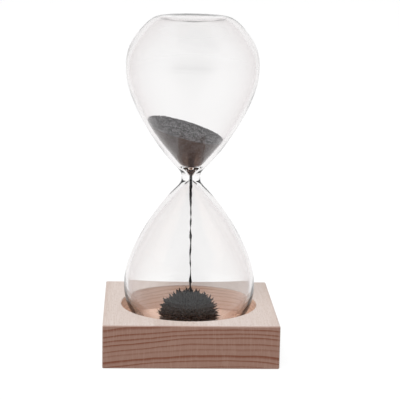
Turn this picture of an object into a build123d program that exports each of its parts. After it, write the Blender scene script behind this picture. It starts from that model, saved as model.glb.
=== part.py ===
"""Magnetic hourglass: a blown glass vessel of iron filings that stands in a wooden block.

A magnet under the middle of the recess draws the falling filings into a spiky heap.
Millimetres, +Z up. The origin is the middle of the block's underside.
"""
import os

from build123d import *

# --- Wooden block -----------------------------------------------------------------------
BLOCK_SIDE = 80.0
BLOCK_HEIGHT = 20.0
BLOCK_EDGE = 0.4            # chamfer that takes the sharpness off every outer edge
RECESS_RADIUS = 32.0        # round recess that the glass stands in
RECESS_FLOOR = 5.6          # height of the recess floor above the underside
RECESS_EDGE = 0.3

# --- Magnet under the recess, and the felt disc that closes its pocket --------------------
MAGNET_RADIUS = 15.0
MAGNET_THICKNESS = 3.4
MAGNET_EDGE = 0.4
MAGNET_LIFT = 0.05          # gap between the magnet and the felt under it
MAGNET_HEADROOM = 0.05      # and between the magnet and the top of its pocket
FELT_RADIUS = 19.6
FELT_THICKNESS = 1.0
FELT_RISE = 0.15            # the felt lies this far above the underside, so it never drags
POCKET_GAP = 0.15           # side clearance round the magnet
COUNTERBORE_RADIUS = 20.0
COUNTERBORE_DEPTH = 1.2
POCKET_TOP = COUNTERBORE_DEPTH + MAGNET_LIFT + MAGNET_THICKNESS + MAGNET_HEADROOM

# --- Glass vessel: the lower bulb, the waist and the upper bulb, alike about the waist ------
HALF_HEIGHT = 75.0          # from the waist to the ring that the glass stands on
SEAT_GAP = 0.05             # between the standing ring and the recess floor
WAIST_HEIGHT = RECESS_FLOOR + SEAT_GAP + HALF_HEIGHT
BULB_RADIUS = 30.8          # widest place of each bulb
BULB_OFFSET = 50.5          # its distance from the waist
WAIST_RADIUS = 4.4
BORE_RADIUS = 1.1           # the hole that the filings run through
THROAT = 0.8                # half the length of the straight stretch at the waist
CONE_LEAN = (0.7, 1.0)      # direction in which the funnel's inside leaves the bore
RING_RADIUS = 14.5          # standing ring at each end
END_HOLLOW = 1.1            # how far each end is drawn in at its middle
WALL = 1.6                  # glass thickness in the bulbs
CONE_WALL = 2.2             # and in the cones next to the waist

# --- Iron filings ---------------------------------------------------------------------------
FILINGS_GAP = 0.15          # clearance between the filings' solids and the glass
UPPER_DEPTH = 23.2          # from the waist to the free surface, on the axis
UPPER_START = 1.4           # the funnel's filings begin this far above the waist
SURFACE_RADIUS = 120.0      # the free surface is a shallow dome of this radius
SURFACE_TILT_X = 11.5       # degrees that it falls towards +X
SURFACE_TILT_Y = 6.0        # degrees that it falls towards -Y
HEAP_RADIUS = 11.6          # body of the heap over the magnet, without its spikes
HEAP_CENTRE = 11.0          # height of the point that the spikes spread from
SPIKE_FOOT_RADIUS = 1.3
SPIKE_TIP_RADIUS = 0.12
SPIKE_RINGS = [             # degrees above level, number of spikes, length
    (6, 22, 3.1),
    (25, 20, 3.4),
    (44, 16, 3.7),
    (63, 10, 4.0),
    (79, 4, 4.2),
]
STREAM_GAP = 0.05           # between the falling thread and the filings above it
STREAM_FOOT_GAP = 0.3       # and between its foot and the heap's body
STREAM_FOOT = HEAP_CENTRE + HEAP_RADIUS + STREAM_FOOT_GAP
STREAM = [                  # height above the waist, radius of the falling thread
    (UPPER_START - STREAM_GAP, 0.90),
    (-2.0, 0.90),
    (-6.0, 0.80),
    (-11.0, 0.95),
    (-18.0, 0.65),
    (-25.0, 0.75),
    (-36.0, 0.50),
    (-45.0, 0.35),
]
STREAM_FOOT_RADIUS = 0.60


def outer_sides():
    """(radius, distance from the waist) on the glass's outside, out to the standing ring."""
    return [
        (WAIST_RADIUS, THROAT),
        (7.0, 5.0),
        (16.1, 16.0),
        (25.6, 32.0),
        (BULB_RADIUS, BULB_OFFSET),
        (29.1, 61.2),
        (24.2, 68.6),
        (RING_RADIUS, HALF_HEIGHT),
    ]


def inner_sides(clearance):
    """The same on the inside, or on a solid that keeps this far from the inside."""
    wall = WALL + clearance
    cone_wall = CONE_WALL + clearance
    return [
        (BORE_RADIUS - clearance, THROAT),
        (16.1 - cone_wall, 16.6),
        (25.6 - wall, 32.6),
        (BULB_RADIUS - wall, BULB_OFFSET),
        (29.1 - wall, 60.5),
        (24.2 - wall, 67.3),
        (RING_RADIUS - wall, HALF_HEIGHT - wall),
    ]


def revolved_about_waist(sides, lean):
    """Solid of revolution from half an outline, mirrored about the waist.

    The outline leaves the waist in the direction lean, and its end is drawn in at the middle.
    """
    radius, throat = sides[0]
    end = (0, sides[-1][1] - END_HOLLOW)
    wall = Spline(*sides, tangents=[lean, (-1, 0)])
    hollow = Spline(sides[-1], end, tangents=[(-1, 0), (-1, 0)])
    closing = Polyline(end, (0, 0), (radius, 0), (radius, throat))
    half = revolve(Plane.XZ * make_face(wall + hollow + closing), axis=Axis.Z)
    return Pos(0, 0, WAIST_HEIGHT) * (half + mirror(half, about=Plane.XY))


def disc(radius, bottom, thickness):
    """Upright round disc, given by its lowest level and its thickness."""
    return Pos(0, 0, bottom) * extrude(Circle(radius), thickness)


def make_base_block():
    """Square block: a recess from above, and from below a magnet pocket with a counterbore."""
    block = extrude(Rectangle(BLOCK_SIDE, BLOCK_SIDE), BLOCK_HEIGHT)
    block = chamfer(block.edges(), BLOCK_EDGE)
    block -= disc(RECESS_RADIUS, RECESS_FLOOR, BLOCK_HEIGHT)
    rim = block.faces().sort_by(Axis.Z)[-1].inner_wires()[0].edges()
    block = chamfer(rim, RECESS_EDGE)
    block -= disc(COUNTERBORE_RADIUS, 0, COUNTERBORE_DEPTH)
    block -= disc(MAGNET_RADIUS + POCKET_GAP, 0, POCKET_TOP)
    return block


def make_magnet():
    """Ferrite disc magnet, lifted clear of the felt by a hair."""
    magnet = disc(MAGNET_RADIUS, COUNTERBORE_DEPTH + MAGNET_LIFT, MAGNET_THICKNESS)
    return chamfer(magnet.edges(), MAGNET_EDGE)


def make_magnet_cover():
    """Thin felt disc glued into the counterbore under the magnet."""
    return disc(FELT_RADIUS, FELT_RISE, FELT_THICKNESS)


def make_glass_vessel():
    """One closed piece of blown glass, with both bulbs joined through the bore."""
    outside = revolved_about_waist(outer_sides(), (0, 1))
    return outside - revolved_about_waist(inner_sides(0), CONE_LEAN)


def filings_space():
    """The room inside the glass that filings may take."""
    return revolved_about_waist(inner_sides(FILINGS_GAP), CONE_LEAN)


def make_upper_filings():
    """Filings left in the upper cone, under a tilted and slightly domed surface."""
    top = WAIST_HEIGHT + UPPER_DEPTH
    dome = Pos(0, 0, -SURFACE_RADIUS) * Sphere(SURFACE_RADIUS)
    under_surface = Pos(0, 0, top) * Rot(SURFACE_TILT_Y, SURFACE_TILT_X, 0) * dome
    above_waist = disc(BULB_RADIUS, WAIST_HEIGHT + UPPER_START, HALF_HEIGHT)
    return filings_space() & above_waist & under_surface


def make_filings_stream():
    """The thread of filings that falls from the bore to the top of the heap."""
    sides = [(radius, WAIST_HEIGHT + height) for height, radius in STREAM]
    sides.append((STREAM_FOOT_RADIUS, STREAM_FOOT))
    outline = Polyline((0, sides[0][1]), *sides, (0, STREAM_FOOT), close=True)
    return revolve(Plane.XZ * make_face(outline), axis=Axis.Z)


def spike(angle_up, angle_round, length):
    """One cone on the heap's surface, pointing away from the heap's centre."""
    upright = (Align.CENTER, Align.CENTER, Align.MIN)
    cone = Cone(SPIKE_FOOT_RADIUS, SPIKE_TIP_RADIUS, length + SPIKE_FOOT_RADIUS, align=upright)
    on_surface = Pos(0, 0, HEAP_RADIUS - SPIKE_FOOT_RADIUS) * cone
    return Pos(0, 0, HEAP_CENTRE) * Rot(0, 0, angle_round) * Rot(0, 90 - angle_up, 0) * on_surface


def make_lower_filings():
    """Heap over the magnet: a round body with spikes that follow the magnet's field."""
    body = Pos(0, 0, HEAP_CENTRE) * Sphere(HEAP_RADIUS)
    spikes = []
    for row, (angle_up, count, length) in enumerate(SPIKE_RINGS):
        for number in range(count):
            angle_round = (number + row / 2) * 360 / count
            spikes.append(spike(angle_up, angle_round, length))
    return (body + spikes) & filings_space()


def main():
    makers = {
        "base_block": make_base_block,
        "magnet": make_magnet,
        "magnet_cover": make_magnet_cover,
        "glass_vessel": make_glass_vessel,
        "upper_filings": make_upper_filings,
        "filings_stream": make_filings_stream,
        "lower_filings": make_lower_filings,
    }
    os.makedirs("parts", exist_ok=True)
    for name, make in makers.items():
        export_step(make(), f"parts/{name}.step")


main()
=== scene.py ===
# %% [markdown]
# # A magnetic hourglass
# The object is a blown glass vessel of iron filings that stands in a round recess of a wooden
# block. A magnet under the recess gathers the falling filings into a spiky heap.
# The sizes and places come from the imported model, so every piece made here fits it.

# %% Load the model
from math import cos, radians, sin, tau

import bpy
import numpy as np
from mathutils import Matrix, Vector


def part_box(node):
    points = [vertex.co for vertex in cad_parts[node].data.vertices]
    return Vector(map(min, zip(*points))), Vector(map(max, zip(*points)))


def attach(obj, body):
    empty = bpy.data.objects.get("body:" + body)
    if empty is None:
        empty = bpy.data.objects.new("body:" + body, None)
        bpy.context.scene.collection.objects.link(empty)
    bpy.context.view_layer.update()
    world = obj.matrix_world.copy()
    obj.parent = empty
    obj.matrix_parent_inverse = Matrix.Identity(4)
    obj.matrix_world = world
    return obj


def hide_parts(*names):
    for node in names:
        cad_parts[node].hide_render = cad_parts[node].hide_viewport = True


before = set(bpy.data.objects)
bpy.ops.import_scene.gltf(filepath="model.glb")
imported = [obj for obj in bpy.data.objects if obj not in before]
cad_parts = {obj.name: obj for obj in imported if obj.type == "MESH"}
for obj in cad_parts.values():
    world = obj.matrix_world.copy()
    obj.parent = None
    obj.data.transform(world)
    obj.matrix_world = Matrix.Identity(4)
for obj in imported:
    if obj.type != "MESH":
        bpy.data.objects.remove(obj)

MM = 0.001
scene = bpy.context.scene
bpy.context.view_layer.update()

# %% [markdown]
# ## The camera
# A lens of 130 mm on a 36 mm sensor, about 0.7 m away and a little above the glass, draws the
# object with little perspective, as a product shot does. The camera's axes are worked out from
# three angles: how far it turns from +Y, how far it looks down, and how far it is rolled.

# %% Camera
CAMERA_PLACE = Vector((-25.70, -665.87, 201.65)) * MM
CAMERA_TURN = radians(2.594)
CAMERA_DOWN = radians(11.191)
CAMERA_ROLL = radians(1.060)
CAMERA_LENS = 130.48


def camera_axes(turn, down, roll):
    """The camera's own X, Y and Z axes as the columns of a matrix."""
    forward = Vector((sin(turn) * cos(down), cos(turn) * cos(down), -sin(down)))
    right = Vector((cos(turn), -sin(turn), 0))
    up = right.cross(forward)
    x_axis = cos(roll) * right + sin(roll) * up
    y_axis = cos(roll) * up - sin(roll) * right
    return Matrix((x_axis, y_axis, -forward)).transposed()


camera = bpy.data.objects.new("camera", bpy.data.cameras.new("camera"))
scene.collection.objects.link(camera)
camera.data.lens = CAMERA_LENS
camera.data.sensor_width = 36
camera.matrix_world = Matrix.LocRotScale(
    CAMERA_PLACE, camera_axes(CAMERA_TURN, CAMERA_DOWN, CAMERA_ROLL).to_quaternion(), None)
scene.camera = camera
print("camera at", [round(v, 3) for v in camera.location])

# %% [markdown]
# ## Helpers for nodes
# Materials and Geometry Nodes are both trees of nodes. One short function adds a node, sets its
# options and fills its inputs, either with a value or with a link from another node's output.
# It looks a socket up by name among those that the node's options have left switched on.

# %% Node helpers
def socket(sockets, key):
    """An input or output of a node, by its number or by its name."""
    if isinstance(key, int):
        return sockets[key]
    return next(s for s in sockets if s.enabled and s.name == key)


def add(tree, kind, inputs=None, **options):
    """A new node in tree, with its options set and its inputs filled or linked."""
    node = tree.nodes.new(kind)
    for name, value in options.items():
        setattr(node, name, value)
    for key, value in (inputs or {}).items():
        place = socket(node.inputs, key)
        if isinstance(value, bpy.types.NodeSocket):
            tree.links.new(value, place)
        else:
            place.default_value = value
    return node


def calc(tree, operation, *values, clamp=False):
    """The output of a Math node."""
    inputs = dict(enumerate(values))
    return add(tree, "ShaderNodeMath", inputs, operation=operation, use_clamp=clamp).outputs[0]


def vector_calc(tree, operation, *values, out="Vector"):
    """The output of a Vector Math node."""
    node = add(tree, "ShaderNodeVectorMath", dict(enumerate(values)), operation=operation)
    return socket(node.outputs, out)


def ease(tree, value, low, high, to_low=0.0, to_high=1.0):
    """value mapped smoothly from the span low..high to the span to_low..to_high."""
    inputs = {"Value": value, "From Min": low, "From Max": high, "To Min": to_low, "To Max": to_high}
    return add(tree, "ShaderNodeMapRange", inputs, interpolation_type="SMOOTHSTEP").outputs[0]


def blend_colours(tree, share, first, second, mode="MIX"):
    """first where share is 0 and second where it is 1."""
    node = add(tree, "ShaderNodeMix", data_type="RGBA", blend_type=mode)
    for name, value in (("Factor_Float", share), ("A_Color", first), ("B_Color", second)):
        place = next(s for s in node.inputs if s.identifier == name)
        if isinstance(value, bpy.types.NodeSocket):
            tree.links.new(value, place)
        elif name == "Factor_Float":
            place.default_value = value
        else:
            place.default_value = (*value, 1)
    return next(s for s in node.outputs if s.identifier == "Result_Color")


def group(name, kind, inputs, outputs):
    """An empty node group, with its named inputs and outputs."""
    tree = bpy.data.node_groups.new(name, kind)
    for direction, sockets in (("INPUT", inputs), ("OUTPUT", outputs)):
        for label, kind_of_socket, *default in sockets:
            item = tree.interface.new_socket(
                label, in_out=direction, socket_type="NodeSocket" + kind_of_socket)
            if default:
                item.default_value = default[0]
    return tree, add(tree, "NodeGroupInput").outputs, add(tree, "NodeGroupOutput")


print("node helpers ready")

# %% [markdown]
# ## Finishes that several materials share
# Wood fibres, felt, ferrite and filings all have a fine grain, so one shader group makes it: a
# noise in millimetres that can be stretched in any direction, so that a fibre is a long dot.
# A second group finds worn edges. It compares the surface's normal with one that is rounded
# over a small radius, and the two differ only near an edge.

# %% Shared shader groups
def make_fine_grain():
    tree, given, result = group("fine_grain", "ShaderNodeTree", [
        ("Grain Size mm", "Vector", (1, 1, 1)), ("Detail", "Float", 2.0),
        ("Low", "Float", 0.3), ("High", "Float", 0.7)], [("Mask", "Float")])
    place = add(tree, "ShaderNodeTexCoord").outputs["Object"]
    in_mm = vector_calc(tree, "SCALE", place)
    in_mm.node.inputs["Scale"].default_value = 1 / MM
    in_grains = vector_calc(tree, "DIVIDE", in_mm, given["Grain Size mm"])
    noise = add(tree, "ShaderNodeTexNoise",
                {"Vector": in_grains, "Scale": 1.0, "Detail": given["Detail"]})
    mask = ease(tree, noise.outputs[0], given["Low"], given["High"])
    tree.links.new(mask, result.inputs["Mask"])
    return tree


def make_edge_wear():
    tree, given, result = group("edge_wear", "ShaderNodeTree", [
        ("Radius mm", "Float", 0.5), ("Amount", "Float", 1.0)], [("Mask", "Float")])
    radius = calc(tree, "MULTIPLY", given["Radius mm"], MM)
    rounded = add(tree, "ShaderNodeBevel", {"Radius": radius}, samples=4).outputs[0]
    sharp = add(tree, "ShaderNodeNewGeometry").outputs["Normal"]
    alike = vector_calc(tree, "DOT_PRODUCT", rounded, sharp, out="Value")
    worn = ease(tree, alike, 0.98, 0.8)
    patchy = add(tree, "ShaderNodeGroup", node_tree=fine_grain)
    patchy.inputs["Grain Size mm"].default_value = (3, 6, 3)
    amount = calc(tree, "MULTIPLY", worn, given["Amount"])
    tree.links.new(calc(tree, "MULTIPLY", amount, patchy.outputs[0]), result.inputs["Mask"])
    return tree


fine_grain = make_fine_grain()
edge_wear = make_edge_wear()
print("shader groups:", fine_grain.name, edge_wear.name)

# %% Helpers for materials
def new_material(name, **uniform):
    """A material, its node tree and its Principled shader with uniform values on its sockets."""
    made = bpy.data.materials.new(name)
    made.use_nodes = True
    tree = made.node_tree
    shader = tree.nodes["Principled BSDF"]
    for key, value in uniform.items():
        shader.inputs[key.replace("_", " ")].default_value = value
    return made, tree, shader


def grain(tree, size, detail=2.0, low=0.3, high=0.7):
    """The mask of the fine grain group, with grains of this size in millimetres."""
    node = add(tree, "ShaderNodeGroup", node_tree=fine_grain)
    for key, value in (("Grain Size mm", size), ("Detail", detail), ("Low", low), ("High", high)):
        node.inputs[key].default_value = value
    return node.outputs["Mask"]


def wear(tree, radius, amount):
    """The mask of the edge wear group."""
    node = add(tree, "ShaderNodeGroup", node_tree=edge_wear)
    node.inputs["Radius mm"].default_value = radius
    node.inputs["Amount"].default_value = amount
    return node.outputs["Mask"]


def bump(tree, shader, height, depth_mm, strength=1.0):
    """Raises the surface by height times depth_mm, on the shader's normal."""
    node = add(tree, "ShaderNodeBump",
               {"Height": height, "Distance": depth_mm * MM, "Strength": strength})
    tree.links.new(node.outputs[0], shader.inputs["Normal"])


print("material helpers ready")

# %% [markdown]
# ## Wood
# The block is taken to be beech, sawn so that its growth rings run as flat arcs across the front and its
# fibres run from front to back. A ring is a sheet that goes right through the block, so the
# rings are made in three dimensions: a height that grows away from the crest of the arcs. The
# same sheets then show as arcs on the end grain and as long faint streaks on the top.
# End grain drinks more finish, so it is darker, with fine pale rays across the rings.
# The recess lies in its own shade. Its wood is given a paler tone and little end grain, which
# makes up for missing light and isn't how turned wood differs from the rest of the block.

# %% Growth rings
RING_CREST = 21.0           # where the arcs are highest, to the right of the middle
RING_RADIUS_LEFT = 450.0    # they are flatter on the left of it
RING_RADIUS_RIGHT = 160.0
RING_SPACING = 2.45
WAVER_LENGTHS = (26, 150, 9)    # size of the slow waver of the rings, in mm
WAVER_HEIGHT = 2.6
UNEVEN_LENGTH = 4.5         # the rings' spacing varies over this depth
UNEVEN_RINGS = 1.3          # by up to so many rings


def make_growth_rings():
    """Mask of the dark line at the end of each ring, and a slower tone from ring to ring."""
    tree, given, result = group("growth_rings", "ShaderNodeTree", [],
                                [("Line", "Float"), ("Tone", "Float")])
    place = add(tree, "ShaderNodeTexCoord").outputs["Object"]
    in_mm = vector_calc(tree, "SCALE", place)
    in_mm.node.inputs["Scale"].default_value = 1 / MM
    x, _, z = add(tree, "ShaderNodeSeparateXYZ", {0: in_mm}).outputs
    across = calc(tree, "SUBTRACT", x, RING_CREST)
    left = calc(tree, "POWER", calc(tree, "MINIMUM", across, 0.0), 2.0)
    right = calc(tree, "POWER", calc(tree, "MAXIMUM", across, 0.0), 2.0)
    rise_left = calc(tree, "DIVIDE", left, 2 * RING_RADIUS_LEFT)
    rise_right = calc(tree, "DIVIDE", right, 2 * RING_RADIUS_RIGHT)
    depth = calc(tree, "ADD", z, calc(tree, "ADD", rise_left, rise_right))
    slow = vector_calc(tree, "DIVIDE", in_mm, WAVER_LENGTHS)
    waver = add(tree, "ShaderNodeTexNoise",
                {"Vector": slow, "Scale": 1.0, "Detail": 2.0}).outputs[0]
    depth = calc(tree, "ADD", depth, calc(tree, "MULTIPLY", waver, WAVER_HEIGHT))
    along = calc(tree, "DIVIDE", depth, UNEVEN_LENGTH)
    uneven = add(tree, "ShaderNodeTexNoise", {"W": along, "Scale": 1.0, "Detail": 1.0},
                 noise_dimensions="1D").outputs[0]
    rings = calc(tree, "ADD", calc(tree, "DIVIDE", depth, RING_SPACING),
                 calc(tree, "MULTIPLY", uneven, UNEVEN_RINGS))
    share = calc(tree, "FRACT", rings)
    number = calc(tree, "FLOOR", rings)
    strength = add(tree, "ShaderNodeTexWhiteNoise", {"W": number},
                   noise_dimensions="1D").outputs[0]
    strength = calc(tree, "MULTIPLY_ADD", strength, 0.6, 0.4)
    line = calc(tree, "MULTIPLY", ease(tree, share, 0.50, 0.92), ease(tree, share, 1.0, 0.95))
    tree.links.new(calc(tree, "MULTIPLY", line, strength), result.inputs["Line"])
    tree.links.new(uneven, result.inputs["Tone"])
    return tree


growth_rings = make_growth_rings()
print("rings about", RING_SPACING, "mm apart")

# %% Wood material
LONG_GRAIN_PALE = (0.46, 0.398, 0.368)
LONG_GRAIN_DEEP = (0.345, 0.262, 0.222)
END_GRAIN_PALE = (0.245, 0.142, 0.107)
END_GRAIN_DEEP = (0.140, 0.043, 0.021)
WORN_WOOD = (0.24, 0.155, 0.115)
# Painted light: in the recess the wood is made paler and loses most of its darker end grain, to make up
# for the shade of its walls and of the glass.
RECESS_PAINTED_LIGHT = (1.56, 1.35, 1.20)    # the long grain's colour is multiplied by this there
RECESS_END_GRAIN = -0.85            # and this much of the end grain's colour is taken away
RECESS_REACH = (32.2, 32.6)         # the tone fades out between these radii, in mm
RECESS_TOP = (19.5, 19.9)           # and between these heights


def recess_mask(tree):
    """1 on the wall and floor of the recess, and 0 elsewhere."""
    place = add(tree, "ShaderNodeTexCoord").outputs["Object"]
    x, y, z = add(tree, "ShaderNodeSeparateXYZ", {0: place}).outputs
    flat = add(tree, "ShaderNodeCombineXYZ", {0: x, 1: y}).outputs[0]
    away = vector_calc(tree, "LENGTH", flat, out="Value")
    within = ease(tree, away, RECESS_REACH[1] * MM, RECESS_REACH[0] * MM)
    below = ease(tree, z, RECESS_TOP[1] * MM, RECESS_TOP[0] * MM)
    return calc(tree, "MULTIPLY", within, below)


def make_wood():
    made, tree, shader = new_material("oiled_beech", Specular_IOR_Level=0.35)
    rings = add(tree, "ShaderNodeGroup", node_tree=growth_rings)
    normal = add(tree, "ShaderNodeTexCoord").outputs["Normal"]
    facing_y = add(tree, "ShaderNodeSeparateXYZ", {0: normal}).outputs[1]
    end_grain = ease(tree, calc(tree, "ABSOLUTE", facing_y), 0.35, 0.95)
    fibres = grain(tree, (0.35, 22, 0.35), detail=3)
    flecks = grain(tree, (0.40, 2.6, 0.40), detail=1, low=0.56, high=0.68)
    rays = grain(tree, (0.45, 6, 6), detail=2, low=0.48, high=0.70)
    pores = grain(tree, (0.14, 3, 0.14), detail=1, low=0.50, high=0.72)
    clouds = grain(tree, (22, 60, 14), detail=1)
    recess = recess_mask(tree)
    long_share = calc(tree, "MULTIPLY", rings.outputs["Line"],
                      calc(tree, "MULTIPLY_ADD", recess, 0.5, 0.45))
    long_share = calc(tree, "MULTIPLY_ADD", fibres, 0.28, long_share)
    long_share = calc(tree, "MULTIPLY_ADD", flecks, 0.60, long_share)
    long_share = calc(tree, "MULTIPLY_ADD", clouds, 0.15, long_share, clamp=True)
    long_colour = blend_colours(tree, long_share, LONG_GRAIN_PALE, LONG_GRAIN_DEEP)
    end_share = calc(tree, "MULTIPLY", rings.outputs["Line"], 1.05)
    end_share = calc(tree, "MULTIPLY_ADD", pores, 0.22, end_share)
    end_share = calc(tree, "MULTIPLY_ADD", rays, -0.32, end_share)
    end_share = calc(tree, "MULTIPLY_ADD", rings.outputs["Tone"], 0.25, end_share, clamp=True)
    end_colour = blend_colours(tree, end_share, END_GRAIN_PALE, END_GRAIN_DEEP)
    long_colour = blend_colours(tree, recess, long_colour, RECESS_PAINTED_LIGHT, mode="MULTIPLY")
    left_over = calc(tree, "MULTIPLY_ADD", recess, RECESS_END_GRAIN, 1.0)
    end_grain = calc(tree, "MULTIPLY", end_grain, left_over)
    colour = blend_colours(tree, end_grain, long_colour, end_colour)
    colour = blend_colours(tree, wear(tree, 0.5, 0.5), colour, WORN_WOOD)
    tree.links.new(colour, shader.inputs["Base Color"])
    rough = calc(tree, "MULTIPLY_ADD", fibres, 0.12, 0.48)
    tree.links.new(rough, shader.inputs["Roughness"])
    relief = calc(tree, "ADD", fibres, calc(tree, "MULTIPLY", pores, end_grain))
    bump(tree, shader, relief, 0.02, 0.6)
    return made


wood = make_wood()
print("material", wood.name)

# %% [markdown]
# ## Magnet and felt
# Neither shows while the block stands on a table, but the block may be picked up. The magnet
# is sintered ferrite, a dark ceramic with a faint sparkle. The felt is pressed wool: matt,
# with a short nap that catches the light at its edge, which is what sheen is for.

# %% Ferrite and felt materials
def make_ferrite():
    made, tree, shader = new_material("sintered_ferrite", Metallic=0.3)
    fine = grain(tree, (0.12, 0.12, 0.12), detail=2)
    colour = blend_colours(tree, fine, (0.030, 0.030, 0.033), (0.065, 0.064, 0.068))
    colour = blend_colours(tree, wear(tree, 0.4, 0.8), colour, (0.14, 0.14, 0.145))
    tree.links.new(colour, shader.inputs["Base Color"])
    tree.links.new(calc(tree, "MULTIPLY_ADD", fine, 0.2, 0.45), shader.inputs["Roughness"])
    bump(tree, shader, fine, 0.03, 0.5)
    return made


def make_felt():
    made, tree, shader = new_material("pressed_felt", Sheen_Weight=0.4)
    one_way = grain(tree, (0.10, 1.2, 0.3), detail=3)
    other_way = grain(tree, (1.2, 0.10, 0.3), detail=3)
    fibres = calc(tree, "MULTIPLY", calc(tree, "ADD", one_way, other_way), 0.5)
    colour = blend_colours(tree, fibres, (0.020, 0.040, 0.030), (0.055, 0.095, 0.070))
    tree.links.new(colour, shader.inputs["Base Color"])
    tree.links.new(calc(tree, "MULTIPLY_ADD", fibres, 0.1, 0.85), shader.inputs["Roughness"])
    bump(tree, shader, fibres, 0.15)
    return made


ferrite, felt = make_ferrite(), make_felt()
print("materials", ferrite.name, felt.name)

# %% Put the finishes on the model's own parts
for node_name, material in (("base_block", wood), ("magnet", ferrite), ("magnet_cover", felt)):
    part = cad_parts[node_name]
    part.data.materials.clear()
    part.data.materials.append(material)
    print(node_name, "gets", material.name, "on", len(part.data.polygons), "faces")

# %% [markdown]
# ## Iron filings
# The filings are grey chips of iron, each a fraction of a millimetre across. Seen close up,
# some catch the light and their neighbours don't. A Voronoi pattern paints that glint: it gives
# each cell its own brightness, and a bump tilts the cells against each other. The cells are
# about a millimetre, a few times larger than real chips, because true ones would blur into one
# even grey.

# %% Filings material
def make_iron(name, dark, pale, wood_reflection, chip_mm):
    """Grey iron in chips of this size, from dark to pale, with a painted brown reflection of the block
    on downward faces.
    """
    made, tree, shader = new_material(name, Metallic=0.3, Specular_IOR_Level=0.1)
    place = add(tree, "ShaderNodeTexCoord").outputs["Object"]
    in_chips = vector_calc(tree, "SCALE", place)
    in_chips.node.inputs["Scale"].default_value = 1 / (chip_mm * MM)
    chips = add(tree, "ShaderNodeTexVoronoi", {"Vector": in_chips, "Scale": 1.0})
    chip_tone = add(tree, "ShaderNodeSeparateXYZ", {0: chips.outputs["Color"]}).outputs[0]
    dust = grain(tree, (0.15, 0.15, 0.15), detail=1)
    # Painted glint: the chips that would catch the light are painted paler, cell by cell.
    painted_glint = calc(tree, "MULTIPLY", ease(tree, chip_tone, 0.25, 0.85), 0.75)
    share = calc(tree, "MULTIPLY_ADD", dust, 0.25, painted_glint)
    colour = blend_colours(tree, share, dark, pale)
    # Painted reflection: faces that point down are tinted brown, the wooden block below as if mirrored
    # in them.
    normal = add(tree, "ShaderNodeTexCoord").outputs["Normal"]
    upwards = add(tree, "ShaderNodeSeparateXYZ", {0: normal}).outputs[2]
    painted_reflection_share = ease(tree, upwards, 0.25, -0.25, 0.0, 0.8)
    colour = blend_colours(tree, painted_reflection_share, colour, wood_reflection)
    tree.links.new(colour, shader.inputs["Base Color"])
    tree.links.new(calc(tree, "MULTIPLY_ADD", chip_tone, 0.25, 0.35), shader.inputs["Roughness"])
    bump(tree, shader, chips.outputs["Distance"], 0.1, 0.7)
    return made


loose_iron = make_iron(
    "loose_iron_filings", dark=(0.003, 0.003, 0.003), pale=(0.175, 0.170, 0.180),
    wood_reflection=(0.060, 0.038, 0.033), chip_mm=1.1)
# Painted shade: the heap and the falling thread get a darker copy of the same iron, its pale about a
# sixth of the loose filings', for the shade between the needles.
shaded_iron = make_iron(
    "gathered_iron_filings", dark=(0.004, 0.004, 0.004), pale=(0.030, 0.030, 0.032),
    wood_reflection=(0.010, 0.006, 0.005), chip_mm=1.3)
print("materials", loose_iron.name, shaded_iron.name)

# %% [markdown]
# ## Glass
# Clear glass has no colour of its own. What shows is what it bends and mirrors, so the wall
# has a real thickness. Its index of refraction is set a little under that of real glass, which
# is 1.47 to 1.52, to keep the mirror images between the walls faint. A wall that is seen edge
# on is tinted more. Blown glass is never quite even: a very shallow bump, centimetres long,
# gives it that slight liquid waver.
# Light that has bent through several walls is slow to trace. So rays on their way to a lamp or
# from a matt surface go straight through a clear shader, which lights what is inside the glass.

# %% Glass material
GLASS_INDEX = 1.42          # index of refraction
GLASS_TINTS = (0.950, 0.945, 0.944), (0.958, 0.954, 0.953)
GLASS_EDGE_TINT = (0.78, 0.735, 0.735)      # where the wall is seen edge on
CLEAR_TINT = (0.99, 0.985, 0.98, 1)         # what soft light meets on its way through


def make_glass():
    made, tree, shader = new_material("blown_glass", Metallic=0.0, Transmission_Weight=1.0,
                                      IOR=GLASS_INDEX, Roughness=0.0)
    waver = grain(tree, (14, 14, 30), detail=1, low=0.2, high=0.8)
    tint = blend_colours(tree, waver, *GLASS_TINTS)
    grazing = add(tree, "ShaderNodeLayerWeight", {"Blend": 0.35}).outputs["Facing"]
    tint = blend_colours(tree, ease(tree, grazing, 0.08, 0.75), tint, GLASS_EDGE_TINT)
    tree.links.new(tint, shader.inputs["Base Color"])
    bump(tree, shader, waver, 0.03, 0.5)
    ray = add(tree, "ShaderNodeLightPath").outputs
    soft_light = calc(tree, "MAXIMUM", ray["Is Shadow Ray"], ray["Is Diffuse Ray"])
    clear = add(tree, "ShaderNodeBsdfTransparent", {"Color": CLEAR_TINT}).outputs[0]
    mixed = add(tree, "ShaderNodeMixShader", {0: soft_light, 1: shader.outputs[0], 2: clear})
    tree.links.new(mixed.outputs[0], tree.nodes["Material Output"].inputs["Surface"])
    return made


glass = make_glass()
print("material", glass.name)

# %% [markdown]
# ## Turned shapes
# The vessel is blown and turned over a flame, so it is the same all the way round. The outline
# of one half is a smooth curve through a few points, from the waist to the ring that
# the glass stands on. The curve is a cubic spline: a chain of cubics that meet without a kink,
# and that leave each end in a given direction. Inside, the two funnels at the waist differ a
# little, and each is wide enough for the filings when the glass has been turned over.

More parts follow.
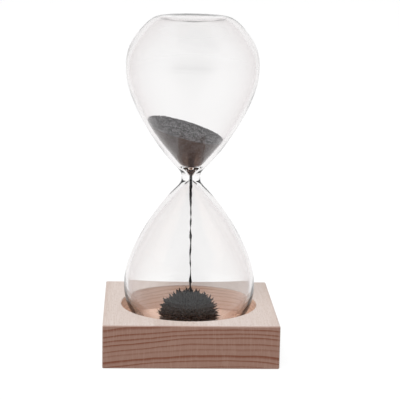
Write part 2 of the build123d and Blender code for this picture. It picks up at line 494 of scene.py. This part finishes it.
# %% A smooth curve through a few points
def smooth_curve(points, start, end, per_span):
    """Points on a cubic spline through points, with its directions at both ends given."""
    points = np.array(points, float)
    steps = np.linalg.norm(np.diff(points, axis=0), axis=1)
    slopes = np.diff(points, axis=0) / steps[:, None]
    count = len(points)
    system = np.eye(count)
    wanted = np.zeros((count, 2))
    wanted[0] = np.array(start) / np.linalg.norm(start)
    wanted[-1] = np.array(end) / np.linalg.norm(end)
    for i in range(1, count - 1):
        before, after = 1 / steps[i - 1], 1 / steps[i]
        system[i, i - 1:i + 2] = before, 2 * (before + after), after
        wanted[i] = 3 * (slopes[i - 1] * before + slopes[i] * after)
    directions = np.linalg.solve(system, wanted)
    t = np.linspace(0, 1, per_span, endpoint=False)[:, None]
    curve = []
    for i, step in enumerate(steps):
        curve.append((2 * t**3 - 3 * t**2 + 1) * points[i] + (3 * t**2 - 2 * t**3) * points[i + 1]
                     + (t**3 - 2 * t**2 + t) * step * directions[i]
                     + (t**3 - t**2) * step * directions[i + 1])
    return np.vstack([*curve, points[-1:]])


# %% Outlines of the glass, in millimetres from the waist
low_corner, high_corner = (np.array(corner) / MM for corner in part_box("glass_vessel"))
WAIST = (low_corner[2] + high_corner[2]) / 2
HALF_HEIGHT = (high_corner[2] - low_corner[2]) / 2
BULB_RADIUS = 30.8
BULB_OFFSET = 50.5
WAIST_RADIUS = 4.4
THROAT = 0.8
RING_RADIUS = 14.5
END_HOLLOW = 1.1
WALL = 1.6
BORE_RADIUS = 0.75

OUTER_SIDES = [
    (WAIST_RADIUS, THROAT), (7.0, 5.0), (16.1, 16.0), (25.6, 32.0), (BULB_RADIUS, BULB_OFFSET),
    (29.1, 61.2), (24.2, 68.6), (RING_RADIUS, HALF_HEIGHT)]
INNER_SIDES = [
    (25.6 - WALL, 32.6), (BULB_RADIUS - WALL, BULB_OFFSET), (28.9 - WALL, 59.8),
    (24.4 - WALL, 66.4), (RING_RADIUS - WALL, HALF_HEIGHT - WALL)]
UPPER_FUNNEL = [
    (BORE_RADIUS, THROAT), (1.6, 2.7), (2.7, 4.6), (4.8, 6.2), (7.0, 8.2), (14.4, 16.8)]
LOWER_FUNNEL = [(BORE_RADIUS, THROAT), (1.7, 2.2), (7.75, 8.8), (14.5, 16.8)]


def half_outline(sides, lean, end_hollow, per_span=14):
    """(radius, distance from the waist) from the waist to the middle of the end."""
    end = (0, sides[-1][1] - end_hollow)
    wall = smooth_curve(sides, lean, (-1, 0), per_span)
    hollow = smooth_curve([sides[-1], end], (-1, 0), (-1, 0), 2 * per_span)
    return np.vstack([[(sides[0][0], 0)], wall, hollow[1:]])


def whole_outline(upper, lower):
    """Both halves as one outline, from the lowest point up."""
    return np.vstack([lower[:0:-1] * (1, -1), upper]) + (0, WAIST)


outside = half_outline(OUTER_SIDES, (0, 1), END_HOLLOW)
inside = half_outline(UPPER_FUNNEL + INNER_SIDES, (0.1, 1.0), END_HOLLOW)
inside_low = half_outline(LOWER_FUNNEL + INNER_SIDES, (0.2, 1.0), END_HOLLOW)
print("waist at", round(WAIST, 2), "mm; widest radius", round(outside[:, 0].max(), 2), "mm")

# %% [markdown]
# A lathe is a rule: every point of the outline goes once round the axis. Geometry Nodes make
# it from a flat grid, with one row of the grid for each point of the outline. Each vertex
# looks up its outline point by its row and takes its angle from its column. The seam and the
# poles are then merged. The inner wall is the same with its faces turned the other way.

# %% The lathe as a Geometry Nodes tree
def make_lathe():
    tree, given, result = group("lathe", "GeometryNodeTree", [
        ("Outline", "Geometry"), ("Segments", "Int", 128), ("Inside Out", "Bool", False),
        ("Material", "Material")], [("Shell", "Geometry")])
    rows = socket(add(tree, "GeometryNodeAttributeDomainSize", {"Geometry": given["Outline"]},
                      component="MESH").outputs, "Point Count")
    columns = calc(tree, "ADD", given["Segments"], 1.0)
    grid = add(tree, "GeometryNodeMeshGrid", {"Vertices X": rows, "Vertices Y": columns})
    number = calc(tree, "ADD", add(tree, "GeometryNodeInputIndex").outputs[0], 0.5)
    turns = calc(tree, "DIVIDE", number, columns)
    row = calc(tree, "FLOOR", turns)
    column = calc(tree, "FLOOR", calc(tree, "MULTIPLY", calc(tree, "FRACT", turns), columns))
    outline_point = add(tree, "GeometryNodeSampleIndex", {
        "Geometry": given["Outline"], "Value": add(tree, "GeometryNodeInputPosition").outputs[0],
        "Index": row}, data_type="FLOAT_VECTOR")
    radius, _, height = add(
        tree, "ShaderNodeSeparateXYZ", {0: socket(outline_point.outputs, "Value")}).outputs
    angle = calc(tree, "MULTIPLY", calc(tree, "DIVIDE", column, given["Segments"]), -tau)
    x = calc(tree, "MULTIPLY", radius, calc(tree, "COSINE", angle))
    y = calc(tree, "MULTIPLY", radius, calc(tree, "SINE", angle))
    place = add(tree, "ShaderNodeCombineXYZ", {0: x, 1: y, 2: height}).outputs[0]
    shell = add(tree, "GeometryNodeSetPosition",
                {"Geometry": grid.outputs["Mesh"], "Position": place}).outputs[0]
    shell = add(tree, "GeometryNodeMergeByDistance",
                {"Geometry": shell, "Distance": 0.001 * MM}).outputs[0]
    shell = add(tree, "GeometryNodeFlipFaces",
                {"Mesh": shell, "Selection": given["Inside Out"]}).outputs[0]
    shell = add(tree, "GeometryNodeSetShadeSmooth", {"Geometry": shell}).outputs[0]
    shell = add(tree, "GeometryNodeRealizeInstances", {"Geometry": shell}).outputs[0]
    shell = add(tree, "GeometryNodeSetMaterial",
                {"Geometry": shell, "Material": given["Material"]}).outputs[0]
    tree.links.new(shell, result.inputs["Shell"])
    return tree


# %% Helpers that run a tree and keep the mesh
def object_from(name, points, faces=(), edges=()):
    """An object in the scene with this mesh, its points in millimetres."""
    mesh = bpy.data.meshes.new(name)
    mesh.from_pydata((np.array(points) * MM).tolist(), edges, faces)
    made = bpy.data.objects.new(name, mesh)
    scene.collection.objects.link(made)
    return made


def run_tree(start, tree, **inputs):
    """Runs a Geometry Nodes tree on the object start, and keeps the result as its mesh."""
    modifier = start.modifiers.new(tree.name, "NODES")
    modifier.node_group = tree
    for item in tree.interface.items_tree:
        key = item.name.replace(" ", "_")
        if item.in_out == "INPUT" and key in inputs:
            modifier[item.identifier] = inputs[key]
    graph = bpy.context.evaluated_depsgraph_get()
    mesh = bpy.data.meshes.new_from_object(
        start.evaluated_get(graph), preserve_all_data_layers=True, depsgraph=graph)
    for place in reversed(range(len(mesh.materials))):
        if mesh.materials[place] is None:
            mesh.materials.pop(index=place)
    start.modifiers.clear()
    start.data = mesh
    return start


def turned(name, outline, segments, material, inside_out=False):
    """The outline (radius, height) turned round the upright axis."""
    points = [(radius, 0, height) for radius, height in outline]
    start = object_from(name, points, edges=[(i, i + 1) for i in range(len(points) - 1)])
    return run_tree(start, lathe, Segments=segments, Inside_Out=inside_out, Material=material)


def join(first, *others):
    """Adds the others' meshes to first, all at the origin."""
    with bpy.context.temp_override(active_object=first, selected_editable_objects=[first, *others]):
        bpy.ops.object.join()
    return first


def volume(piece):
    """Signed volume in cubic centimetres: above zero if the faces point outwards."""
    mesh = piece.data
    mesh.calc_loop_triangles()
    places = np.array([v.co[:] for v in mesh.vertices])
    corners = places[np.array([t.vertices[:] for t in mesh.loop_triangles])]
    return float(np.einsum("ij,ij->", corners[:, 0], np.cross(corners[:, 1], corners[:, 2]))) / 6e-6


lathe = make_lathe()
print("tree", lathe.name)

# %% The glass vessel
SEGMENTS = 144
vessel = turned("glass_vessel_blown", whole_outline(outside, outside), SEGMENTS, glass)
print("outside encloses", round(volume(vessel), 1), "cubic cm")
hollow_side = turned("glass_inside", whole_outline(inside, inside_low), SEGMENTS, glass,
                     inside_out=True)
print("inside encloses", round(volume(hollow_side), 1), "cubic cm")
vessel = join(vessel, hollow_side)
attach(vessel, "glass")
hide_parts("glass_vessel")
print("glass has", len(vessel.data.polygons), "faces")

# %% [markdown]
# ## Chips and needles
# Loose filings look like grit, so chips are scattered over them. Over a magnet, filings stand
# up along the field as needles. Both are one small shape set down many times, which is what
# instances are for. Both trees take a seed, so each run gives the same result.

# %% The scatter tree
def make_chip_scatter():
    tree, given, result = group("chip_scatter", "GeometryNodeTree", [
        ("Body", "Geometry"), ("Chips per Square mm", "Float", 5.0), ("Chip mm", "Float", 0.35),
        ("Lowest Slope", "Float", -1.0), ("Seed", "Int", 1), ("Material", "Material")],
        [("Filings", "Geometry")])
    normal_z = add(tree, "ShaderNodeSeparateXYZ",
                   {0: add(tree, "GeometryNodeInputNormal").outputs[0]}).outputs[2]
    bare = calc(tree, "GREATER_THAN", normal_z, given["Lowest Slope"])
    density = calc(tree, "MULTIPLY", given["Chips per Square mm"], 1 / MM**2)
    points = add(tree, "GeometryNodeDistributePointsOnFaces", {
        "Mesh": given["Body"], "Selection": bare, "Density": density, "Seed": given["Seed"]})
    chip = add(tree, "GeometryNodeMeshIcoSphere", {"Radius": 0.5, "Subdivisions": 1}).outputs[0]
    turn = add(tree, "FunctionNodeRandomValue",
               {"Min": (0, 0, 0), "Max": (tau, tau, tau), "Seed": given["Seed"]},
               data_type="FLOAT_VECTOR")
    size = add(tree, "FunctionNodeRandomValue",
               {"Min": (0.4, 0.3, 0.25), "Max": (1.4, 0.8, 0.6), "Seed": given["Seed"]},
               data_type="FLOAT_VECTOR")
    chip_size = calc(tree, "MULTIPLY", given["Chip mm"], MM)
    scale = vector_calc(tree, "SCALE", socket(size.outputs, "Value"))
    tree.links.new(chip_size, scale.node.inputs["Scale"])
    chips = add(tree, "GeometryNodeInstanceOnPoints", {
        "Points": points.outputs["Points"], "Instance": chip,
        "Rotation": socket(turn.outputs, "Value"), "Scale": scale}).outputs[0]
    both = add(tree, "GeometryNodeJoinGeometry")
    tree.links.new(chips, both.inputs[0])
    tree.links.new(given["Body"], both.inputs[0])
    whole = add(tree, "GeometryNodeRealizeInstances", {"Geometry": both.outputs[0]}).outputs[0]
    whole = add(tree, "GeometryNodeSetMaterial",
                {"Geometry": whole, "Material": given["Material"]}).outputs[0]
    tree.links.new(whole, result.inputs["Filings"])
    return tree


chip_scatter = make_chip_scatter()
print("tree", chip_scatter.name)

# %% [markdown]
# ## The filings in the upper bulb
# They fill the funnel up to a free surface that slid to one side when the glass was turned
# over. The body is a grid in rings: the rings climb the inside of the glass to the line where
# it meets the free surface, then close in towards the middle. Halving a span again and again
# finds that line, because the funnel widens upwards while the surface stays put.

# %% Filings in the upper bulb
FILINGS_GAP = 0.12          # air between the filings and the glass
SURFACE_MIDDLE = 22.7       # height of the free surface above the waist, on the axis
SURFACE_DOME = 120.0
SURFACE_RIPPLE = 0.15
FALL_RIGHT = 0.28           # how much it falls for each millimetre towards +X
RISE_BACK = 0.095           # and rises for each towards +Y
FUNNEL_START = 1.0
RIM_SPAN = (5.0, 40.0)      # the rim of the free surface lies between these heights
HALVINGS = 40               # how often that span is halved to find the rim
WALL_RINGS = 60
SURFACE_RINGS = 50
ANGLES = 160


def inside_radius(height):
    """Inner radius of the glass at a distance from the waist, in the upper bulb."""
    widening = inside[: int(np.argmax(inside[:, 0])) + 1]
    return np.interp(height, widening[:, 1], widening[:, 0])


def ripple(x, y, size, seed):
    """A gentle unevenness between -1 and 1, from a few waves in seeded directions."""
    waves = np.random.default_rng(seed)
    total = 0
    for _ in range(7):
        direction, phase = waves.uniform(0, tau, 2)
        length = size * waves.uniform(0.6, 1.7)
        total = total + np.sin((x * cos(direction) + y * sin(direction)) * tau / length + phase)
    return total / 7


def free_surface(x, y):
    """Height of the free surface above the waist."""
    slope = SURFACE_MIDDLE - FALL_RIGHT * x + RISE_BACK * y
    return slope - (x**2 + y**2) / (2 * SURFACE_DOME) + SURFACE_RIPPLE * ripple(x, y, 9, seed=3)


def make_funnel_body():
    angle = np.linspace(0, tau, ANGLES, endpoint=False)
    low, high = np.full(ANGLES, RIM_SPAN[0]), np.full(ANGLES, RIM_SPAN[1])
    for _ in range(HALVINGS):
        middle = (low + high) / 2
        reach = inside_radius(middle) - FILINGS_GAP
        below = free_surface(reach * np.cos(angle), reach * np.sin(angle)) > middle
        low, high = np.where(below, middle, low), np.where(below, high, middle)
    rings = []
    for share in np.linspace(0, 1, WALL_RINGS):
        height = FUNNEL_START + (low - FUNNEL_START) * share
        rings.append((inside_radius(height) - FILINGS_GAP, height))
    rim = rings[-1][0]
    for share in np.linspace(0, 1, SURFACE_RINGS)[1:-1]:
        reach = rim * (1 - share)
        rings.append((reach, free_surface(reach * np.cos(angle), reach * np.sin(angle))))
    points = [(0, 0, FUNNEL_START)]
    for reach, height in rings:
        points += list(zip(reach * np.cos(angle), reach * np.sin(angle), height))
    points.append((0, 0, free_surface(0, 0)))
    points = np.array(points) + (0, 0, WAIST)
    return object_from("funnel_body", points, ring_faces(len(rings), ANGLES))


def ring_faces(rings, sides):
    """Faces that join rings of points, closed by a fan at a first and a last single point."""
    last = rings * sides + 1
    faces = []
    for side in range(sides):
        after = (side + 1) % sides
        faces.append((0, 1 + after, 1 + side))
        for ring in range(rings - 1):
            near, far = 1 + ring * sides, 1 + (ring + 1) * sides
            faces.append((near + side, near + after, far + after, far + side))
        end = 1 + (rings - 1) * sides
        faces.append((end + side, end + after, last))
    return faces


upper_filings = make_funnel_body()
upper_filings.name = "upper_filings_loose"
print("upper filings take", round(volume(upper_filings), 1), "cubic cm")
run_tree(upper_filings, chip_scatter, Chips_per_Square_mm=2.6, Chip_mm=0.85, Lowest_Slope=0.5,
         Seed=4, Material=loose_iron)
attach(upper_filings, "filings")
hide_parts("upper_filings")
print("upper filings have", len(upper_filings.data.polygons), "faces")

# %% [markdown]
# ## The falling thread
# Filings are faintly magnetised, so they fall as a lumpy, twisted thread that nearly parts in
# places. Its half width is given in a list, against the distance below the waist. The section is
# an oval that turns on the way down, so that the thread looks alive from every side.

# %% Falling thread
THREAD_WIDTHS = [           # distance below the waist, half width
    (-0.9, 0.64), (0.6, 0.60), (2.4, 0.74), (4.3, 0.90), (6.2, 0.52), (7.4, 0.50), (8.4, 0.72),
    (11.0, 0.70), (12.6, 0.52), (14.2, 0.26), (15.4, 0.30), (16.9, 0.50), (18.0, 0.34),
    (18.8, 0.14), (19.8, 0.24), (21.2, 0.42), (22.8, 0.34), (24.3, 0.16), (26.0, 0.32),
    (28.5, 0.58), (30.6, 0.36), (33.0, 0.34), (36.5, 0.42), (38.8, 0.24), (41.5, 0.34),
    (43.3, 0.10), (46.0, 0.24), (48.0, 0.38), (50.0, 0.68), (51.8, 0.42), (54.0, 0.50)]
THREAD_TURN = 14.0          # one turn of the oval in this length
THREAD_DRIFT = 0.65         # how far the foot stands to the right of the axis
THREAD_SWAY = 0.30          # how far it wanders on the way down
THREAD_LONG = 1.05          # the oval's two half widths, as shares of the width
THREAD_SHORT = 0.72
THREAD_LUMPS = 0.35
THREAD_ROWS = 260
THREAD_SIDES = 12


def make_thread_body():
    depths, widths = np.array(THREAD_WIDTHS).T
    rows = np.linspace(depths[0], depths[-1], THREAD_ROWS)
    side = np.linspace(0, tau, THREAD_SIDES, endpoint=False)
    points = []
    for row in rows:
        width = np.interp(row, depths, widths)
        unevenness = THREAD_LUMPS * np.clip(row / 5.0, 0.1, 1)
        lumps = 1 + unevenness * ripple(row + 1.1 * np.cos(side), 1.6 * np.sin(side), 1.5, seed=8)
        long_way, short_way = width * THREAD_LONG * lumps, width * THREAD_SHORT * lumps
        twist = row / THREAD_TURN * tau
        x = np.cos(side) * long_way * cos(twist) - np.sin(side) * short_way * sin(twist)
        y = np.cos(side) * long_way * sin(twist) + np.sin(side) * short_way * cos(twist)
        fall = np.clip(row / depths[-1], 0, 1)
        sway = THREAD_SWAY * min(1, fall * 8)
        x = x + THREAD_DRIFT * fall + sway * ripple(row, 0, 8, seed=12)
        y = y + sway * ripple(row, 0, 9, seed=13)
        points += list(zip(x, y, np.full(THREAD_SIDES, WAIST - row)))
    top = (0, 0, WAIST - depths[0])
    foot = (THREAD_DRIFT, 0, WAIST - depths[-1])
    faces = [tuple(reversed(face)) for face in ring_faces(len(rows), THREAD_SIDES)]
    return object_from("thread_body", [top, *points, foot], faces)


thread = make_thread_body()
thread.name = "falling_filings"
print("thread takes", round(volume(thread) * 1000, 1), "cubic mm")
run_tree(thread, chip_scatter, Chips_per_Square_mm=5.0, Chip_mm=0.36, Seed=9, Material=shaded_iron)
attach(thread, "filings")
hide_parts("filings_stream")
print("thread has", len(thread.data.polygons), "faces")

# %% [markdown]
# ## The heap over the magnet
# The heap is a dense round body under a coat of needles that follow the magnet's field: they
# stand upright at the top and lie flat at the foot. The needles start on a spiral that turns
# by the golden angle at each step, which spreads any number of points evenly over a dome. Each
# is moved, leant and stretched a little at random.

# %% The needle tree
GOLDEN_ANGLE = tau * (1 - 2 / (1 + 5**0.5))


def make_needle_coat():
    tree, given, result = group("needle_coat", "GeometryNodeTree", [
        ("Body", "Geometry"), ("Needles", "Int", 1200), ("Half Width mm", "Float", 12.5),
        ("Half Height mm", "Float", 11.0), ("Middle mm", "Float", 14.0),
        ("Focus mm", "Float", 11.0), ("Lowest Angle", "Float", 1.9),
        ("Thickness mm", "Float", 0.5), ("Length mm", "Float", 2.6), ("Lean", "Float", 0.25),
        ("Seed", "Int", 1), ("Material", "Material")],
        [("Filings", "Geometry")])

    def random(low, high, step, kind="FLOAT"):
        seed = calc(tree, "ADD", given["Seed"], float(step))
        node = add(tree, "FunctionNodeRandomValue", {"Min": low, "Max": high, "Seed": seed},
                   data_type=kind)
        return socket(node.outputs, "Value")

    number = add(tree, "GeometryNodeInputIndex").outputs[0]
    share = calc(tree, "DIVIDE", calc(tree, "ADD", number, 0.5), given["Needles"])
    lowest = calc(tree, "COSINE", given["Lowest Angle"])
    drop = calc(tree, "MULTIPLY", share, calc(tree, "SUBTRACT", 1.0, lowest))
    up = calc(tree, "SUBTRACT", 1.0, drop)
    out = calc(tree, "SQRT", calc(tree, "SUBTRACT", 1.0, calc(tree, "MULTIPLY", up, up)))
    angle = calc(tree, "MULTIPLY", number, GOLDEN_ANGLE)
    reach = calc(tree, "MULTIPLY", out, given["Half Width mm"])
    x = calc(tree, "MULTIPLY", reach, calc(tree, "COSINE", angle))
    y = calc(tree, "MULTIPLY", reach, calc(tree, "SINE", angle))
    z = calc(tree, "MULTIPLY_ADD", up, given["Half Height mm"], given["Middle mm"])
    foot = add(tree, "ShaderNodeCombineXYZ", {0: x, 1: y, 2: z}).outputs[0]
    foot = vector_calc(tree, "ADD", foot, random((-0.3,) * 3, (0.3,) * 3, 1, "FLOAT_VECTOR"))
    focus = add(tree, "ShaderNodeCombineXYZ", {2: given["Focus mm"]}).outputs[0]
    away = vector_calc(tree, "NORMALIZE", vector_calc(tree, "SUBTRACT", foot, focus))
    leaning = vector_calc(tree, "SCALE", random((-1,) * 3, (1,) * 3, 2, "FLOAT_VECTOR"))
    tree.links.new(given["Lean"], leaning.node.inputs["Scale"])
    away = vector_calc(tree, "ADD", away, leaning)
    in_metres = vector_calc(tree, "SCALE", foot)
    in_metres.node.inputs["Scale"].default_value = MM
    points = add(tree, "GeometryNodePoints",
                 {"Count": given["Needles"], "Position": in_metres}).outputs[0]

    needle = add(tree, "GeometryNodeMeshCone", {
        "Vertices": 5, "Side Segments": 4, "Radius Top": 0.06, "Radius Bottom": 0.5, "Depth": 1.0},
        fill_type="TRIANGLE_FAN").outputs["Mesh"]
    along = add(tree, "ShaderNodeSeparateXYZ",
                {0: add(tree, "GeometryNodeInputPosition").outputs[0]}).outputs[2]
    bend = calc(tree, "MULTIPLY", calc(tree, "MULTIPLY", along, along), 0.55)
    sideways = add(tree, "ShaderNodeCombineXYZ", {0: bend}).outputs[0]
    needle = add(tree, "GeometryNodeSetPosition",
                 {"Geometry": needle, "Offset": sideways}).outputs[0]

    aligned = add(tree, "FunctionNodeAlignRotationToVector", {"Vector": away}, axis="Z").outputs[0]
    spin = add(tree, "ShaderNodeCombineXYZ", {2: random(0.0, tau, 3)}).outputs[0]
    spun = add(tree, "FunctionNodeRotateRotation", {"Rotation": aligned, "Rotate By": spin},
               rotation_space="LOCAL").outputs[0]
    thick_mm = calc(tree, "MULTIPLY", given["Thickness mm"], random(0.6, 1.3, 4))
    thick = calc(tree, "MULTIPLY", thick_mm, MM)
    long_mm = calc(tree, "MULTIPLY", given["Length mm"], random(0.7, 1.15, 5))
    long = calc(tree, "MULTIPLY", long_mm, MM)
    scale = add(tree, "ShaderNodeCombineXYZ", {0: thick, 1: thick, 2: long}).outputs[0]
    needles = add(tree, "GeometryNodeInstanceOnPoints", {
        "Points": points, "Instance": needle, "Rotation": spun, "Scale": scale}).outputs[0]
    both = add(tree, "GeometryNodeJoinGeometry")
    tree.links.new(needles, both.inputs[0])
    tree.links.new(given["Body"], both.inputs[0])
    whole = add(tree, "GeometryNodeRealizeInstances", {"Geometry": both.outputs[0]}).outputs[0]
    whole = add(tree, "GeometryNodeSetMaterial",
                {"Geometry": whole, "Material": given["Material"]}).outputs[0]
    tree.links.new(whole, result.inputs["Filings"])
    return tree


needle_coat = make_needle_coat()
print("tree", needle_coat.name)

# %% The heap
HEAP_MIDDLE = 12.2
HEAP_HALF_WIDTH = 11.5
HEAP_HALF_HEIGHT = 10.8
HEAP_FOOT = 7.7
HEAP_FOOT_RISE = 1.0        # the foot's middle is higher, over the glass's drawn-in end
HEAP_FOCUS = 9.5            # height of the point that the needles spread from


def make_heap_outline():
    """(radius, height) of the dense body: a flat foot on the glass, under a round dome."""
    low_angle = np.arccos((HEAP_FOOT - HEAP_MIDDLE) / HEAP_HALF_HEIGHT)
    angle = np.linspace(low_angle, 0, 40)
    radius = HEAP_HALF_WIDTH * np.sin(angle)
    height = HEAP_MIDDLE + HEAP_HALF_HEIGHT * np.cos(angle)
    return np.vstack([[(0, HEAP_FOOT + HEAP_FOOT_RISE)], np.stack([radius, height], 1)])


heap = turned("heap_of_filings", make_heap_outline(), 96, shaded_iron)
print("heap's body takes", round(volume(heap), 2), "cubic cm")
shared = dict(Half_Width_mm=HEAP_HALF_WIDTH, Half_Height_mm=HEAP_HALF_HEIGHT, Middle_mm=HEAP_MIDDLE,
              Focus_mm=HEAP_FOCUS, Material=shaded_iron)
run_tree(heap, needle_coat, Needles=400, Lowest_Angle=1.84, Thickness_mm=1.75, Length_mm=3.7,
         Lean=0.16, Seed=20, **shared)
run_tree(heap, needle_coat, Needles=500, Lowest_Angle=1.88, Thickness_mm=0.9, Length_mm=2.2,
         Lean=0.45, Seed=40, **shared)
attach(heap, "filings")
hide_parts("lower_filings")
print("heap has", len(heap.data.polygons), "faces")

# %% [markdown]
# ## Floor and light
# Glass shows itself by what is around it, so it stands on white with a dimmer room on the
# front side. The sky is one smooth gradient, and one large soft light hangs high up, in front
# and to the left. Neither the mirror images nor the bent ones in the glass show that light.
# The floor glows evenly, like a light table, so it is white and keeps only a faint shadow.

# %% Floor
FLOOR_SIDE = 16.0
FLOOR_GLOW = 0.88           # the table's own light, so that it stays near white


def make_floor():
    half = FLOOR_SIDE / 2 / MM
    corners = [(-half, -half, 0), (half, -half, 0), (half, half, 0), (-half, half, 0)]
    floor = object_from("floor", corners, [(0, 1, 2, 3)])
    made = new_material(
        "white_table", Roughness=0.9, Specular_IOR_Level=0.1, Base_Color=(0.10, 0.10, 0.10, 1),
        Emission_Strength=FLOOR_GLOW, Emission_Color=(1, 1, 1, 1))[0]
    floor.data.materials.append(made)
    return floor


floor = make_floor()
print("floor", FLOOR_SIDE, "m wide")

# %% Sky and lamp
FRONT_FADE = (-0.97, -0.62)     # Y of the directions between which the dim front ends
OVERHEAD_FADE = (0.3, 1.0)      # Z of those between which the sky overhead begins


def make_sky(front, back, top):
    """A sky that is dim in front, brightest behind and a little dimmer overhead."""
    world = bpy.data.worlds.new("studio")
    world.use_nodes = True
    tree = world.node_tree
    _, y, z = add(tree, "ShaderNodeSeparateXYZ",
                  {0: add(tree, "ShaderNodeTexCoord").outputs["Generated"]}).outputs
    level = ease(tree, y, *FRONT_FADE, front, back)
    level = calc(tree, "ADD", level, ease(tree, z, *OVERHEAD_FADE, 0.0, top - back))
    tree.nodes["Background"].inputs["Color"].default_value = (1, 1, 1, 1)
    tree.links.new(level, tree.nodes["Background"].inputs["Strength"])
    scene.world = world


def make_lamp(name, place, aim, side, power):
    data = bpy.data.lights.new(name, "AREA")
    data.shape = "SQUARE"
    data.size = side
    data.energy = power
    lamp = bpy.data.objects.new(name, data)
    lamp.location = place
    lamp.rotation_mode = "QUATERNION"
    lamp.rotation_quaternion = (Vector(aim) - Vector(place)).to_track_quat("-Z", "Y")
    lamp.visible_glossy = False
    lamp.visible_transmission = False
    scene.collection.objects.link(lamp)


make_sky(front=0.12, back=1.005, top=0.8)
make_lamp("soft_lamp", place=(-0.45, -0.8, 1.8), aim=(0, 0, 0.05), side=1.0, power=40.0)
scene.view_settings.view_transform = "Standard"
scene.cycles.blur_glossy = 0.0
scene.cycles.max_bounces = 32
scene.cycles.transmission_bounces = 32
print("studio lit")
